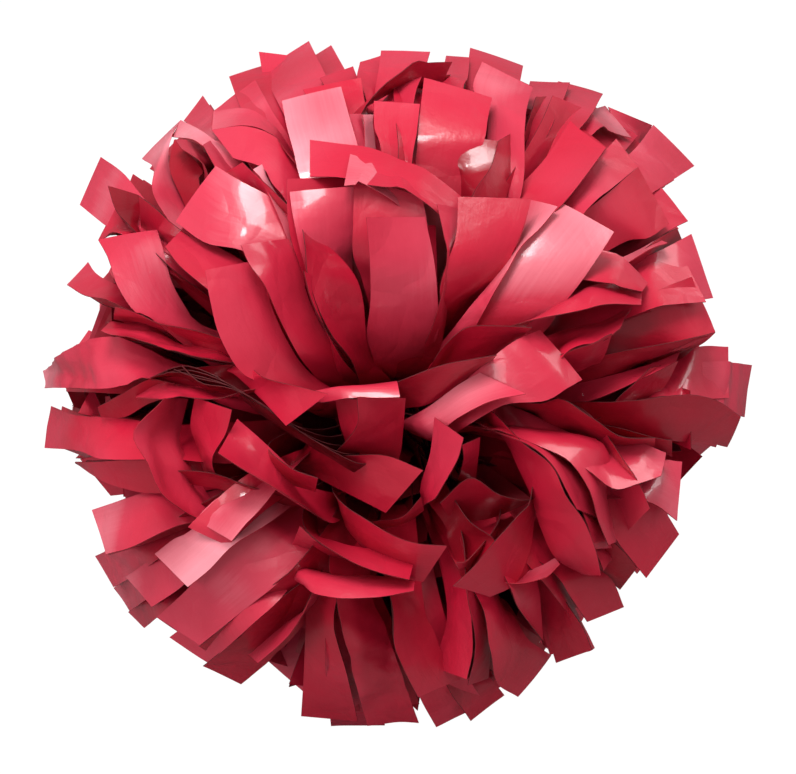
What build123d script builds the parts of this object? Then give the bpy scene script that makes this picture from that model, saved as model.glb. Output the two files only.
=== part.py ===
from build123d import *
from math import sin, cos, radians, sqrt, hypot, atan2
import os

# Show pom pom with a hidden baton handle.
#
# Frame: millimetres, +Z up, origin at the middle of the hand grip. The baton
# lies along Y, the front head is on the -Y side and the rear head on the +Y
# side. Each head is one ring of fringed film sheets, gathered at their uncut
# middle (the spine), wrapped round the neck of an end plug and cinched with a
# cable tie. Fluffed out, the fringe of both heads makes one ball round the
# hand. The ball rests on the fringe that points down, which flattens a little.
#
# "head" is the sign of a head's side of the origin: -1 front, +1 rear.
# "angle" is in degrees round the baton, from +X towards +Z.

HEADS = {"front": -1, "rear": 1}

# ---------------------------------------------------------------- dimensions
# hand grip
tube_od = 22.0
tube_id = 16.8
tube_len = 88.0               # palm width
tube_end = tube_len / 2       # Y of the tube's rear end
tube_chamfer = 0.5

# end plug, from the grip outwards: spigot, flange, neck, domed cap
spigot_d = tube_id - 2 * 0.1  # 0.1 radial clearance, held by the pin
spigot_len = 16.0
spigot_lead_in = (1.0, 1.5)   # taper at the spigot's tip: across, along
flange_d = 28.0
flange_t = 2.5
flange_fillet = 0.8
neck_d = 12.0                 # the gathered film sits here
neck_len = 13.0
cap_d = 21.0                  # keeps the gathered film on the neck
cap_t = 4.0
cap_rim_t = 1.2               # straight part of the cap, before the dome
hub_y = tube_end + flange_t + neck_len / 2      # middle of each neck

# cross pin
pin_d = 3.0
pin_hole_d = pin_d + 0.1
pin_inset = 9.0               # pin centre from the tube's end
pin_len = tube_od - 0.6
pin_chamfer = 0.4

# cable tie
groove_r = 11.5               # where the tie bites into the spine
tie_w = 4.7
tie_t = 1.3
tie_r = groove_r + 0.1
tie_angle = 22.5              # where the ratchet head sits round the baton
tie_head = (5.4, 7.2, 4.6)    # along the strap, across it, out from it
tie_head_fillet = 0.6
tie_base_lift = 0.5           # foot of the head's base above the strap's inside
tail_w = tie_w - 0.2
tail_len = 1.2
tail_sink = 0.2               # how far the tail starts inside the head

# gathered film (spine)
spine_r_out = 13.4
spine_r_in = neck_d / 2 + 0.15
spine_len = neck_len - 0.6
pleats = 28
pleat_depth = 0.9
groove_w = tie_w + 0.7

# fluffed fringe
ball_r = 124.0                # ball radius across the baton
ball_y = 132.0                # half length of the ball along the baton
floor_z = -114.0              # plane the resting ball is flattened to
floor_reach = 50.0            # sheaves within this angle of straight down are cut
core_r = 20.0                 # fringe stands clear of the tie inside this radius
soft_r = 3.0                  # rounding of the sheaf's outer edges
root_overlap = 1.5            # how far a root runs on past its end point

# One entry per kind of fringe sheaf:
#   count       sheaves round the baton
#   polar       least and greatest angle from the baton's axis, seen from the hub
#   half_width  half the angle one sheaf covers round the baton
#   root_start, root_end  (distance from the axis, distance past the hub)
#   root_size   (width round the baton, thickness)
#   relief      crown-facing corner: cut back this many degrees, out to this radius
CROWN = dict(
    count=4,
    polar=(15.0, 36.0),
    half_width=30.0,
    root_start=(12.2, 7.9),
    root_end=(9.0, 19.5),
    root_size=(6.0, 1.7),
)
SIDE = dict(
    count=8,
    polar=(50.0, 105.0),
    half_width=19.0,
    root_start=(14.9, -4.2),
    root_end=(21.5, 1.5),
    root_size=(5.6, 2.2),
    relief=(20.0, 60.0),
)


# ---------------------------------------------------------------- geometry
def outward(angle):
    """Unit vector away from the baton's axis."""
    return Vector(cos(radians(angle)), 0, sin(radians(angle)))


def sideways(angle):
    """Unit vector round the baton, square to outward(angle)."""
    return Vector(-sin(radians(angle)), 0, cos(radians(angle)))


def along_baton(y):
    return Vector(0, y, 0)


def meridian(angle):
    """Half-plane through the axis: local x is away from the axis, local y is along Y."""
    return Plane(origin=(0, 0, 0), x_dir=outward(angle), z_dir=sideways(angle))


def cross_section(y, length):
    """Plane across the baton, facing -Y, whose extrusion by length is centred on y."""
    return Plane.XZ.offset(-y - length / 2)


def pin_plane(head, x=0):
    """Plane square to a cross pin, at distance x along it."""
    return Plane((x, head * (tube_end - pin_inset), 0), z_dir=(1, 0, 0))


def tie_plane(head, radius):
    """Plane facing outward at the ratchet head."""
    return Plane(
        origin=outward(tie_angle) * radius + along_baton(head * hub_y),
        x_dir=sideways(tie_angle),
        z_dir=outward(tie_angle),
    )


def on_ray(polar, distance, head):
    """(distance from axis, Y) of the point this far from the hub in direction polar."""
    return (
        distance * sin(radians(polar)),
        head * (hub_y + distance * cos(radians(polar))),
    )


def ball_range(polar):
    """How far from the hub the ray at this polar angle leaves the ball."""
    across, along = sin(radians(polar)), cos(radians(polar))
    # the ball's ellipse along the ray: a t^2 + b t + c = 0
    a = (across / ball_r) ** 2 + (along / ball_y) ** 2
    b = 2 * hub_y * along / ball_y**2
    c = (hub_y / ball_y) ** 2 - 1
    return (-b + sqrt(b * b - 4 * a * c)) / (2 * a)


def domed(start, end):
    """Three points of the arc from start to end whose centre is on the baton's axis."""
    (x1, y1), (x2, y2) = start, end
    centre_y = (x2**2 + y2**2 - x1**2 - y1**2) / (2 * (y2 - y1))
    radius = hypot(x1, y1 - centre_y)
    middle = (atan2(y1 - centre_y, x1) + atan2(y2 - centre_y, x2)) / 2
    return start, (radius * cos(middle), centre_y + radius * sin(middle)), end


def save(part, name):
    part.label = name
    export_step(part, f"parts/{name}.step")


# ---------------------------------------------------------------- pieces
def build_grip_tube():
    with BuildPart() as tube:
        with BuildSketch(cross_section(0, tube_len)):
            Circle(tube_od / 2)
            Circle(tube_id / 2, mode=Mode.SUBTRACT)
        extrude(amount=tube_len)
        chamfer(tube.edges().filter_by(GeomType.CIRCLE), length=tube_chamfer)
        with Locations(pin_plane(1), pin_plane(-1)):
            Hole(radius=pin_hole_d / 2)
    return tube.part


def build_end_plug(head):
    tip_y = head * (tube_end - spigot_len)
    lead_in_y = head * (tube_end - spigot_len + spigot_lead_in[1])
    flange_y = head * tube_end
    neck_y = head * (tube_end + flange_t)
    cap_y = head * (tube_end + flange_t + neck_len)
    dome_y = head * (tube_end + flange_t + neck_len + cap_rim_t)
    top_y = head * (tube_end + flange_t + neck_len + cap_t)
    with BuildPart() as plug:
        with BuildSketch(Plane.XY):
            with BuildLine():
                Polyline(
                    (0, tip_y),
                    (spigot_d / 2 - spigot_lead_in[0], tip_y),
                    (spigot_d / 2, lead_in_y),
                    (spigot_d / 2, flange_y),
                    (flange_d / 2, flange_y),
                    (flange_d / 2, neck_y),
                    (neck_d / 2, neck_y),
                    (neck_d / 2, cap_y),
                    (cap_d / 2, cap_y),
                    (cap_d / 2, dome_y),
                )
                ThreePointArc(*domed((cap_d / 2, dome_y), (0, top_y)))
                Line((0, top_y), (0, tip_y))
            make_face()
        revolve(axis=Axis.Y)
        with Locations(pin_plane(head)):
            Hole(radius=pin_hole_d / 2)
        rim = plug.edges().filter_by(GeomType.CIRCLE).filter_by(
            lambda edge: abs(edge.radius - flange_d / 2) < 0.01
        )
        fillet(rim, radius=flange_fillet)
    return plug.part


def build_plug_pin(head):
    with BuildPart() as pin:
        with BuildSketch(pin_plane(head, x=-pin_len / 2)):
            Circle(pin_d / 2)
        extrude(amount=pin_len)
        chamfer(pin.edges().filter_by(GeomType.CIRCLE), length=pin_chamfer)
    return pin.part


def build_film_spine(head):
    """Pleated sleeve of gathered film, with a groove for the cable tie."""
    pleat_points = []
    for i in range(2 * pleats):
        radius = spine_r_out - (pleat_depth if i % 2 else 0.0)
        angle = radians(i * 180.0 / pleats)
        pleat_points.append((radius * cos(angle), radius * sin(angle)))
    with BuildPart() as spine:
        with BuildSketch(cross_section(head * hub_y, spine_len)):
            with BuildLine():
                Polyline(*pleat_points, close=True)
            make_face()
            Circle(spine_r_in, mode=Mode.SUBTRACT)
        extrude(amount=spine_len)
        with BuildSketch(cross_section(head * hub_y, groove_w)):
            Circle(spine_r_out + 2)
            Circle(groove_r, mode=Mode.SUBTRACT)
        extrude(amount=groove_w, mode=Mode.SUBTRACT)
    return spine.part


def build_cable_tie(head):
    """Strap loop, ratchet head and the trimmed tail through it."""
    head_along, head_across, head_out = tie_head
    head_r = spine_r_out + 0.2      # the ratchet head just clears the pleats
    head_top_r = head_r + head_out
    with BuildPart() as tie:
        with BuildSketch(cross_section(head * hub_y, tie_w)):
            Circle(tie_r + tie_t)
            Circle(tie_r, mode=Mode.SUBTRACT)
        extrude(amount=tie_w)
        # base, from the strap into the ratchet head
        with BuildSketch(tie_plane(head, tie_r + tie_base_lift)):
            Rectangle(head_along, tie_w)
        extrude(amount=head_r - tie_r)
        with BuildSketch(tie_plane(head, head_r)):
            Rectangle(head_along, head_across)
        extrude(amount=head_out)
        fillet(
            tie.faces().sort_by(SortBy.AREA).edges().filter_by(
                lambda edge: hypot(edge.center().X, edge.center().Z) > head_top_r - 0.3
            ),
            radius=tie_head_fillet,
        )
        with BuildSketch(tie_plane(head, head_top_r - tail_sink)):
            Rectangle(tie_t, tail_w)
        extrude(amount=tail_len)
    return tie.part


def build_sheaf(head, angle, polar, half_width, root_start, root_end, root_size, relief=None):
    """The space one stack of fringed sheets fills when fluffed.

    It is a sector of the ball seen from the hub, with a narrow root that comes
    out of the tie beside it.
    """
    low, high = polar
    core_low = low + (relief[0] if relief else 0.0)
    inner_low = on_ray(core_low, core_r, head)
    inner_middle = on_ray((core_low + high) / 2, core_r, head)
    inner_high = on_ray(high, core_r, head)
    outer_low = on_ray(low, ball_range(low), head)
    outer_high = on_ray(high, ball_range(high), head)
    hub = along_baton(head * hub_y)
    far_limit = 0.85 * ball_range((low + high) / 2)

    with BuildPart() as sheaf:
        with BuildSketch(meridian(angle + half_width)):
            with BuildLine():
                if relief:
                    Polyline(inner_low, on_ray(low, relief[1], head), outer_low)
                else:
                    Line(inner_low, outer_low)
                ThreePointArc(*domed(outer_low, outer_high))
                Line(outer_high, inner_high)
                ThreePointArc(inner_high, inner_middle, inner_low)
            make_face()
        revolve(axis=Axis.Y, revolution_arc=2 * half_width)
        far = sheaf.edges().filter_by(lambda edge: (edge.center() - hub).length > far_limit)
        fillet(far, radius=soft_r)

        # root, from the tie into the sheaf
        start, end = (
            outward(angle) * from_axis + along_baton(head * (hub_y + past_hub))
            for from_axis, past_hub in (root_start, root_end)
        )
        run = end - start
        with BuildSketch(Plane(origin=start, x_dir=sideways(angle), z_dir=run)):
            Rectangle(*root_size)
        extrude(amount=run.length + root_overlap)

        # only the side sheaves, the ones with a relief, reach the floor
        if relief and abs(angle - 270.0) < floor_reach:
            split(bisect_by=Plane.XY.offset(floor_z), keep=Keep.TOP)
    return sheaf.part


# ---------------------------------------------------------------- export
os.makedirs("parts", exist_ok=True)

save(build_grip_tube(), "grip_tube")
for head_name, head in HEADS.items():
    save(build_end_plug(head), f"{head_name}_end_plug")
    save(build_plug_pin(head), f"{head_name}_plug_pin")
    save(build_film_spine(head), f"{head_name}_film_spine")
    save(build_cable_tie(head), f"{head_name}_cable_tie")
    for kind_name, kind in (("crown", CROWN), ("side", SIDE)):
        shape = {key: value for key, value in kind.items() if key != "count"}
        for k in range(kind["count"]):
            sheaf = build_sheaf(head, k * 360.0 / kind["count"], **shape)
            save(sheaf, f"{head_name}_{kind_name}_fringe_{k + 1}")
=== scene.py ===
# Cheer pom pom: two heads of glossy red film strips, tied at the ends of a short baton.
# The baton lies along Y, with the front head towards -Y, and Z is up. Every strip is a thin
# closed shell, and strips are joined into one mesh per sheaf, the group they swing with.
# Strips are worked out in millimetres and become metres as each mesh is made.
import bpy
import math
import numpy as np
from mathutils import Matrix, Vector


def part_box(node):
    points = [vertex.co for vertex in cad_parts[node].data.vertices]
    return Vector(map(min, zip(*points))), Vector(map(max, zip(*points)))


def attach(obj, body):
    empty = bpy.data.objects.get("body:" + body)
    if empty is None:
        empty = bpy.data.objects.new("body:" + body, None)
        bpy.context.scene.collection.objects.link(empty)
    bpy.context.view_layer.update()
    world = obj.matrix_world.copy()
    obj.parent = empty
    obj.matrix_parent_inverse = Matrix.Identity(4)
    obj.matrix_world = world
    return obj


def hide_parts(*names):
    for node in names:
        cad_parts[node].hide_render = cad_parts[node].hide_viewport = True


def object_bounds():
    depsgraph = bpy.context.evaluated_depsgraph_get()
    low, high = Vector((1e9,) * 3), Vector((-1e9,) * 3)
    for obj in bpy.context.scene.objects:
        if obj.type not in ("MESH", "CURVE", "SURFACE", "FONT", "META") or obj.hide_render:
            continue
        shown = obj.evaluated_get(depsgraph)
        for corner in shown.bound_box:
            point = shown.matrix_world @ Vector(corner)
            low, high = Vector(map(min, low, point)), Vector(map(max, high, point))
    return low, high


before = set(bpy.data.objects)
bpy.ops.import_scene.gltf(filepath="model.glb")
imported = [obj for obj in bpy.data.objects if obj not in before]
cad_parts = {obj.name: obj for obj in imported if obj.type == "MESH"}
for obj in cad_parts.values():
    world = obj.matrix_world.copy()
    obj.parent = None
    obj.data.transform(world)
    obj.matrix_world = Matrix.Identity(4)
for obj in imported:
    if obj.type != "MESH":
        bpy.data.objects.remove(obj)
cad_lo, cad_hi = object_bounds()
CAD_LO, CAD_HI = np.array(cad_lo) * 1000.0, np.array(cad_hi) * 1000.0

# ------------------------------------------------------------------ sizes (mm)
STRIP_W = 19.05            # 3/4 inch film strip
FILM_T = 0.22              # a little thicker than real film, so it stays a solid
AXES = np.array([124.0, 130.0, 119.0])     # semi-axes of the ball the strips lie on
LAYOUT_SIZE = np.array([242.0, 259.0, 235.0])  # overall size the strip table was drawn at
FLOOR = CAD_LO[2]
SPLIT_Y = 18.0             # strips with their cut end beyond this hang from the rear head
CROWN_ANGLE = 43           # degrees off the baton; sheaves within it are crown sheaves
TIE_R = 14.2               # strips stay outside this radius round the tie
TIE_HALF = 8.5             # half the length of baton that is kept clear
CAM_DIST = 650.0
CAM_TILT = math.radians(18.0)
EYE = CAM_DIST * np.array([0.0, -math.cos(CAM_TILT), math.sin(CAM_TILT)])

# Head: hub centre, and the side of the baton it is on (-1 is towards -Y)
HEADS = {}
for head, side in (("front", -1), ("rear", 1)):
    lo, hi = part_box(head + "_film_spine")
    HEADS[head] = (np.array([(lo[i] + hi[i]) * 500.0 for i in range(3)]), side)

# Entries end in a semicolon. Each holds a name and a tone (0 dark .. 4 milky), then
# points on the two long edges from the cut end inwards: left x y z, right x y z. The tone is
# partly the film's own tint and partly painted light and shade: dark on strips in shade,
# milky where sheen is painted on.
STRIP_TABLE = """
E1 3.2, -9.1 -98.4 82.9 7.9 -90 81.1, -8.2 -98.8 69.7 10.3 -93.9 70.6,
 -8.1 -96.1 57.5 11.5 -94.1 60.1, -9.3 -91.3 45.4 12 -88.5 45.5, -7.3 -85.6 35.2 8.4 -75.2 31.9;
E2 2, -3.8 -97.6 82.9 11.5 -86.5 79.9, -2.9 -100.1 70.1 12 -88.8 67.2,
 -2.9 -98.6 58.2 12.3 -88.1 53.8, -3.9 -93.1 45 12.2 -83.3 41.4;
D 2.8, -13 -83.2 89.6 6.5 -83.7 88.2, -13.3 -87.7 78.2 8.6 -87.4 79,
 -13.4 -88 69.2 8.9 -88.3 68.3, -10.8 -84.6 60 9 -85.4 57.7;
C1 2.4, -32.9 -81.9 90.8 -16.3 -73.4 89.5, -32.8 -85.5 82.2 -15.6 -77.7 82,
 -31.7 -88 73.7 -14.4 -79.7 73.3, -29.1 -88.9 65.4 -13.9 -77.9 64.5;
C2 3.4, -32.1 -83.5 87.2 -12.9 -83 88.8, -30.8 -90.4 81.2 -13.2 -84.3 80.5,
 -29 -94.6 73.8 -13.7 -84.4 71.9, -27 -95.4 65.9 -13.8 -82.1 64.3;
H 1.9, -27.5 -100.7 79.9 -27.2 -87.2 76, -26.7 -104 75.2 -18.9 -91 70.8,
 -26.2 -106.3 67.8 -12.7 -93.6 63.9, -23.7 -106.8 59 -10.4 -93.8 56,
 -19.2 -104.8 48.8 -9.9 -91.6 44.8, -13.6 -98.9 39.3 -7.6 -85.3 35.7;
H2 2.2, -26.9 -109 69.7 -20.2 -96.7 62.3, -25 -109.1 62 -19.7 -96 56.9,
 -22 -107.8 54.8 -20.2 -94.7 49.8;
G 2.4, -45.7 -97.2 74.3 -32.8 -84 73.1, -43.3 -99.4 69.3 -29.2 -86.5 68.5,
 -38.3 -102.2 63.1 -27.4 -89.6 58.5, -34.4 -103.7 54.2 -23 -91.1 47.8,
 -29.7 -102.3 43.4 -17.2 -89.4 39.5, -26.8 -97.4 37 -12.8 -85.4 33.8;
F 2.7, -56.3 -98.2 67.1 -39.6 -90.3 68.5, -54.8 -102 59.2 -38.9 -93.3 59.8,
 -51.9 -104.8 48.5 -35.5 -95.9 50.7, -45.7 -105.6 38 -29.5 -96.1 39,
 -36.3 -103.4 32.7 -22 -91.8 30.1;
B1 2.6, -26.9 -61.5 98.7 -26.2 -78.8 90.8, -17.6 -64.8 98.1 -16.3 -81.8 91.1,
 -7.9 -67.1 97.3 -6.5 -84.4 89.2, 0.6 -69.3 94 0 -85.9 88.3, 10.6 -71.7 89.9 8.8 -88.2 84.6;
B2 4, -14.4 -71.1 96.2 -15.8 -87.9 89.9, -9 -72 94.6 -12.3 -88.1 90.3,
 -4.8 -72.7 92.9 -10 -88.1 90.6;
B3 2.7, -9.6 -71.1 94.4 -11.2 -87.2 90.4, -2.4 -73.4 92.4 -3.8 -88.9 89.9,
 4.2 -75.2 89.7 2.9 -90.1 89.2;
A 4.2, -36.4 -42.8 107.6 -17.9 -40.7 111.7, -34.3 -54.3 101.4 -15.1 -53.1 104.6,
 -31.8 -62.9 95.3 -12.8 -61.8 98.7, -29.7 -69.5 88.6 -10.9 -68.4 92;
A2 2.3, -30.3 -31.4 109.3 -11.9 -28.2 112.6, -25 -47.4 103 -10.2 -37.2 103.8,
 -21 -55.4 97.6 -8.2 -41.1 98.1;
A3 3.5, -15.2 -50.4 104.8 -11.3 -44.4 103.8, -12.6 -61 97.1 -9.9 -55 96;
A4 4, -11.2 -48.1 104.1 -7.6 -42.1 103.1, -10.5 -52 101 -8.1 -45.9 100.6;
I0 2.6, -7.5 -43.8 107.8 6.8 -50 107.8, -7.4 -52.7 101.1 5.8 -59.2 100.4,
 -5.2 -59.3 94.6 4.3 -66.5 91.7;
I1 2.2, 8.2 -38.8 114.2 29.6 -40.7 108.2, 7.1 -49.3 107.4 27.9 -50.5 103.6,
 6.2 -56.6 100.6 26.8 -57 98.5, 5.8 -59.9 95.3 24.6 -59.5 92.1;
I2 1, 6.2 -56.2 100.2 30.8 -57.1 97.6, 9.2 -58.5 92.6 29.7 -62.7 90.9,
 14.6 -55 84.3 24.3 -69.7 84.3;
I3 1.4, 30.6 -61.3 98.4 36.7 -46.5 98.8, 27.8 -70.8 91.9 35.6 -55.8 92.7,
 22 -80.6 85.1 33.3 -66.9 82.1;
J 2.8, -5.7 1.8 117.3 10.6 -8.3 118.2, -6.2 -14.6 113.2 8.3 -26.9 114.3,
 -7.4 -27.3 106.4 5.3 -41.4 108.3;
J2 1.9, 17.3 -28.1 117.7 13.9 -24.3 109.8, 10.2 -31.6 117.9 7.1 -28 109.7,
 3.5 -35.9 117.5 -4.8 -33 107;
J3 2.6, -12.7 -1.5 113.9 -5.7 5.1 115, -13.3 -20.2 110.8 -6.2 -14 110.5,
 -10.2 -32.7 105.6 -6.8 -26.4 105.9;
J4 2.9, 16.6 19.2 113.1 24.3 5 114.5, 15 -5.3 111.2 22.7 -19.9 111.4,
 14 -17.5 108.4 21.1 -31.9 109.3;
J5 2.4, -25.4 -19.5 111.3 -15 -4.2 112.8, -21.6 -34.5 106.6 -11.7 -19.7 106.8;
T1 2.7, 25.1 26.6 114.8 43.6 24.6 108.9, 22.5 -10.2 109.9 39.2 -17.8 106.5,
 20.6 -29.3 102.5 35.4 -41.1 99.7;
T2 3.3, 27.6 -11.9 115.4 44 -18.6 108.2, 24.1 -28.6 109.5 40.9 -37.7 104.9,
 28.2 -38.5 102.1 39 -53.9 100.1;
T3 2.7, 46.4 28.1 103.1 59.2 14.9 104.5, 42 -6.9 101.1 52.8 -21.2 101.8,
 36.8 -29.3 94.4 46.4 -43.7 95.4;
T4 2.7, 56.4 30.1 102.7 71.1 19 100, 51 -3.2 100.5 63.8 -16.4 99.4, 44.4 -27.6 94.1 55 -42 95.1;
T5 2.1, 50.1 -21.4 105.8 62.6 -8.8 99.1, 44.7 -42.7 100 53.9 -29.8 94.5,
 37.6 -58.9 92 46.4 -45.5 87.8;
T6 1, 45.7 -11 103.8 52.1 3.1 101.8, 41.5 -34.6 99.6 45.8 -21.1 95.9,
 37.1 -50.9 93.6 40.3 -37.3 90.4;
V 2.4, 55 -34.2 99.8 65 -49.4 94, 46.5 -50.9 91.7 58 -65.3 89.5,
 37.2 -61.7 84.5 49.7 -75.6 82.2, 29.8 -64.5 79.1 42.7 -77.9 75.9;
U3 3.2, 72.1 20.1 95.7 79.6 4.1 87.3, 65.3 1 97.4 70.1 -14.8 93.1,
 59.4 -11.5 96.2 64.8 -26.5 95.5;
U1 2.4, 72.8 16.7 95.9 89.3 24.1 88.3, 75.1 14.6 91 87.6 25.2 82.1, 79.7 13.1 85 85.7 25.9 79.1;
U2 3, 88.8 17.7 89.4 103.1 13.3 75.8, 79.3 -6.9 85.3 87.5 -19.3 75.3,
 69.6 -22.7 81.7 76.5 -38.8 73.5;
W1 2.9, 70.3 -30.5 93.3 76.6 -39.2 85.9, 60.1 -50.5 87.9 66.3 -58.4 83.1,
 51.1 -66.3 80.4 57.5 -72.8 79.7;
W2 2.1, 76.4 -41.1 86.3 86.2 -46.7 69.1, 67.6 -55.5 82.9 78.4 -56.7 66.9,
 58 -68.9 78.8 69.8 -60.4 66.2;
X1 2.6, 87.4 -20 75.1 93.9 -36.3 67.6, 80.1 -28.1 74.4 87.7 -44.1 66.8,
 72 -34.6 69.2 79.9 -50.6 63.1;
Y 3.3, 49.3 -73.5 81.7 64.6 -81.9 74.7, 41.4 -83.1 75.9 59.5 -87.1 68.3,
 33.5 -89.4 68 53.3 -91.8 60.7, 26.4 -91.5 57.5 48.1 -92.6 54.1, 21.6 -88.9 49.4 44.4 -89.8 46.5;
S 1.7, 17.8 -84.1 85.9 39.4 -84.3 85.3, 17.1 -90 75.7 36.3 -88.2 76.2,
 14.4 -93.8 68.5 32.6 -89 66.7, 12.4 -94.4 61.4 30 -86 59.1, 12.2 -92.6 54.8 26.7 -79.7 54;
S2 3.3, 40.2 -73.3 82.6 47.8 -79.8 81.9, 37.8 -79.8 75.8 42.1 -85.8 76.6,
 33.4 -86.2 67.8 35.1 -91.5 70.9;
S0 2.4, 11.4 -89.2 84.9 17.8 -83.7 82.4, 13.5 -92.7 76.4 17.2 -87 74.7,
 14.4 -94.6 69.3 15.4 -88.5 68.7;
Z 2.6, 41.7 -100.5 49.6 54 -105 35.7, 34 -106.9 48.2 48.8 -111.2 34.9,
 27.4 -107.4 43.2 42.5 -114.3 32.3, 18.9 -103.1 33.8 31 -114.2 31, 8.1 -98.2 23.4 21 -111.7 24;
Z3 3.2, 23.9 -107.4 38.6 36.5 -121 36.6, 16.7 -105.8 33.5 26.3 -120 33.9,
 8 -102.8 25.6 17.9 -116.7 27.9;
Z2 1.4, 28.4 -115.2 46.5 27.1 -102.6 39.8, 20.7 -114.7 44.8 18.9 -103.5 34.2,
 11.5 -112.8 42.1 9.5 -102.8 27.5, 0 -109.4 36.5 2.1 -98.5 24.8;
Y2 1.6, 38.8 -107.7 52.4 34.5 -95.5 44.8, 26.6 -107.5 52.6 25.8 -96.9 39.9,
 18.6 -105.4 51.1 15.5 -95.2 36.9, 12.3 -102.9 44.2 8.1 -92.3 31.6;
R1 2.3, 76.7 -72.5 56.5 73 -86.9 57.5, 71.1 -73.7 62.5 66.1 -89.3 59.7,
 65.8 -74 66 62.1 -90.3 61.2;
R2 2.6, 74.4 -76.6 55 72.3 -91.4 54.7, 63.2 -83.1 59.3 61.6 -98.5 57,
 53 -89.7 57.6 52.2 -104.6 56.9;
R3a 2.9, 93.7 -45 65.4 100.7 -51.3 45.9, 84.2 -54.2 63 91.4 -63.8 48,
 72.5 -61.1 59.3 77.3 -75.9 48.2;
R3b 2.3, 90.7 -51.8 58.9 95.8 -67.1 48.9, 80.4 -60 60 85.1 -76 50.5,
 72.1 -64.8 58 76.4 -81.7 50.5;
R3c 1.8, 91.8 -62.5 55.8 99.6 -64.2 38.4, 81.4 -70.3 54.3 90.4 -73.8 36.7,
 74.6 -75.9 52.6 79.2 -77.3 34.2;
R4 1.7, 88.5 -48.7 68.2 92.9 -36.8 59.4, 80.4 -58.2 66.6 84.6 -46.3 57.8,
 71.1 -66.8 61.7 76.6 -54.5 54.3;
R5 3.2, 82.1 -52.9 65.6 84.3 -59.1 65.8, 74.8 -60.7 63.7 76.2 -66.7 64.8;
R6 1.5, 98.8 -69.1 39.8 95.8 -57 31.6, 79.3 -85.7 40.6 76.7 -73.9 31.5;
R7 2.7, 71.2 -79.8 50.6 65.8 -95.1 48.7, 62.5 -84.8 48.8 59.4 -100.5 45.9,
 54.1 -87.6 47.4 51 -103.3 44.4, 47.3 -87.3 45.8 45.2 -104 40;
R8 1.6, 63.1 -99 48 61.1 -88.1 36, 54.8 -103 45.8 53.2 -92.4 33.2;
R9 1.9, 76.8 -84.5 32.9 87.5 -70.5 30.8, 72.3 -87.2 29.3 82.9 -74.4 23.2,
 66.9 -88.7 24.7 76 -76 18.5, 61.6 -88.6 18.2 67.9 -76 11.6;
R10 2.6, 88.1 -69.6 33.5 85.9 -76.3 32.3, 77.7 -78 32.1 76.2 -84.8 30.4;
P1 2.4, 107.8 -44 27.4 106.4 -58.1 14.5, 95.9 -56.3 31.1 92.3 -71.3 18.2,
 87.9 -61.5 27.7 83.7 -78.7 20;
P2 2.9, 119.3 -27.8 16.1 115.5 -40.2 1.8, 106 -49.9 24.1 102.3 -64.3 11.5,
 92.6 -62.2 27.2 88.8 -78.2 17.9, 83.3 -66.8 23.4 79.1 -83 18.9;
P3 1.6, 108.7 -67.9 11.4 106.8 -57.7 -2.4, 98.3 -78.2 20.5 96.5 -69.5 3.9,
 86.1 -85.9 24.7 85.7 -77.7 7.2, 73.2 -91.4 24.9 72.6 -81.7 9.6;
P4 1.3, 84.2 -87 10.5 86.3 -75.5 0.7, 78.6 -88.9 11.8 81.5 -77 2.9;
Q1 1.3, 77.1 -99.5 15.6 79 -87.1 8.6, 65.5 -107.5 19.1 63.6 -95.2 11.5,
 55.6 -110 26.5 54 -98.4 17.1, 47.4 -109 31.1 45 -98.4 18.4, 40.2 -107.6 28.8 39.7 -95 22.3;
Q2 2.7, 82.1 -89.4 7.1 78.6 -104.7 5.4, 73.3 -94.5 12.2 70.7 -111 5.3,
 61.6 -98.8 14.4 63.1 -115.5 5.5, 51.5 -99.8 17.6 53.1 -116 13.1;
Q3 2.6, 66.4 -103.5 -16.1 62.1 -116.8 -11.8, 63.7 -105.7 -6.1 58.5 -119.3 -2.8,
 62.1 -106.5 2.3 55.6 -119.9 6.2, 63.3 -106.7 8.7 50.2 -118.5 14.7,
 59.6 -105.2 17 42.6 -117.4 18.9, 42.3 -102.6 19.6 29.6 -115.1 23.3,
 30.6 -98.7 18.8 26 -112.1 22.6;
Q4 2.4, 59.8 -110.7 -6 51.9 -122.8 2.1, 56.9 -110.9 2.7 48.2 -123.5 9.2,
 52 -109.9 10.6 44 -123 15.8, 45 -107.5 15 39.5 -120.8 19.5, 34.8 -103.2 16.9 31 -116.2 22.2;
Q5 2, 60.1 -118.5 -20.7 55.9 -105.5 -26.1, 57.9 -122.4 -11.6 47.4 -110.1 -18.8,
 53.9 -124.6 -0.9 42.5 -112.1 -7.7, 48.4 -125.2 7.1 39.9 -112.4 1.4,
 44.3 -122.9 15.4 35.7 -110 10, 36.7 -119 20.8 31.4 -105.3 17.7;
Q6 2.5, 64.8 -104.5 -18 57.9 -117.5 -12.7, 60.6 -106.8 -8.6 54.1 -119.1 -1.3;
Q7 1.8, 61.4 -112.5 -22 65.7 -98.6 -24.5, 59.6 -113.4 -17.1 64.5 -100.1 -21.2;
Q8 2.1, 67.3 -98.8 -18.1 75.3 -107.8 -3.6, 63.5 -98.7 -6.3 71.8 -109.6 4.4,
 61.2 -97 4.4 67.1 -109.4 11.6;
Q10 2.6, 88 -84.5 2.4 85.6 -95.2 -12.9, 81 -85.5 3.4 77.9 -100.4 -5.6,
 73.2 -86.6 2.2 69.9 -103 -2.9;
Q11 1.9, 87.9 -86.3 -21 76.5 -98.3 -30.6, 80.3 -92.2 -8.2 68.2 -104 -18.5,
 72.4 -93.7 -0.1 60.6 -106.9 -7.8;
Q12 1, 73.4 -99.1 -26.9 69.9 -88.4 -39.1, 67.9 -104 -18.8 63.4 -93.5 -31.8;
Q13 1.9, 71 -91 -43.8 58 -105.2 -42.2, 66.4 -95.1 -32.7 52.1 -109.1 -31.8,
 59.2 -96.8 -25.9 47.2 -110.8 -23.7;
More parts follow.
